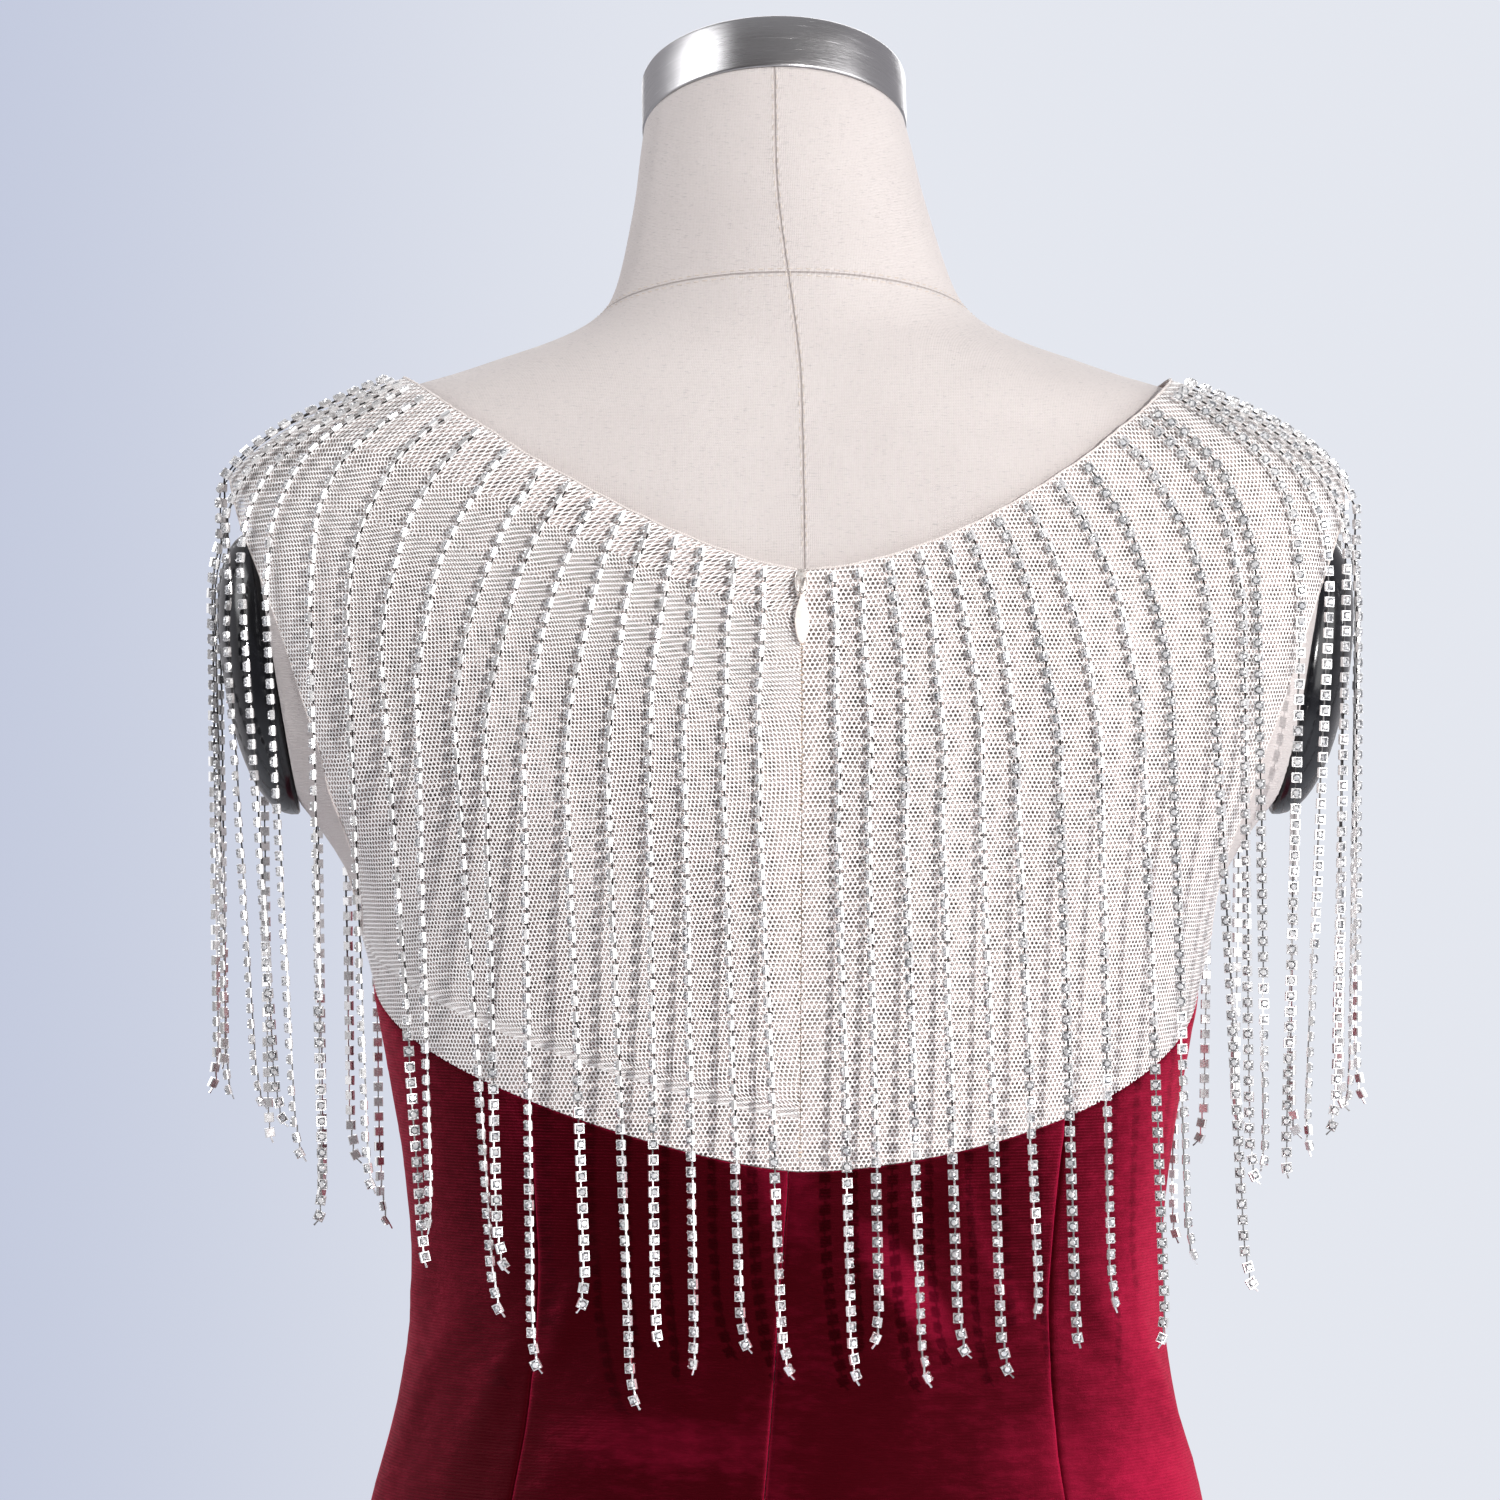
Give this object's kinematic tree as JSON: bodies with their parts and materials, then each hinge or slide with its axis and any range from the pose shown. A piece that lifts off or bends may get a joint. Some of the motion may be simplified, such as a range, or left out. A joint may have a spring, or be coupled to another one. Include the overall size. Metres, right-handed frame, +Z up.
{
  "type": "mermaid evening gown on a limbless dress form",
  "caption": "Floor-length velvet mermaid gown with a net yoke, a hanging stone-chain fringe and a back zip, worn by a limbless dress form on a pole and round base.",
  "frame": {"origin": "on the floor under the middle of the round base", "axes": "+Z up, the gown's front faces -Y, the wearer's left is +X"},
  "size_m": [0.81, 0.7789, 1.5349],
  "materials": {
    "velvet": "burgundy pile velvet with a soft sheen",
    "net": "nude fine net in two layers",
    "chain": "silver cups with clear cut stones",
    "zip_tape": "cream woven tape",
    "zip_hard": "cream gloss paint",
    "linen": "natural linen with slubs, stitched seams",
    "neck_cap": "brushed round the neck",
    "arm_plate": "black gloss",
    "stand": "satin brushed"
  },
  "bodies": {
    "gown": {"front_center": "velvet", "side_front_left": "velvet", "side_front_right": "velvet", "side_back_left": "velvet", "side_back_right": "velvet", "back_left": "velvet", "back_right": "velvet", "yoke_front": "net", "yoke_back_left": "net", "yoke_back_right": "net", "fringe_back_left": "chain", "fringe_back_right": "chain", "fringe_front": "chain", "zip_tape_left": "zip_tape", "zip_tape_right": "zip_tape", "zip_slider": "zip_hard", "form_torso": "linen", "neck_cap": "neck_cap", "arm_plate_left": "arm_plate", "arm_plate_right": "arm_plate", "stand_pole": "stand", "stand_base": "stand"},
    "zip_tab": {"zip_pull": "zip_hard"}
  },
  "joints": [
    {"name": "zip_pull_swing", "type": "hinge", "parent": "gown", "child": "zip_tab", "pos_m": [0, 0.10603, 1.32867], "axis": [1, 0, 0], "range_deg": [0, 150]}
  ]
}
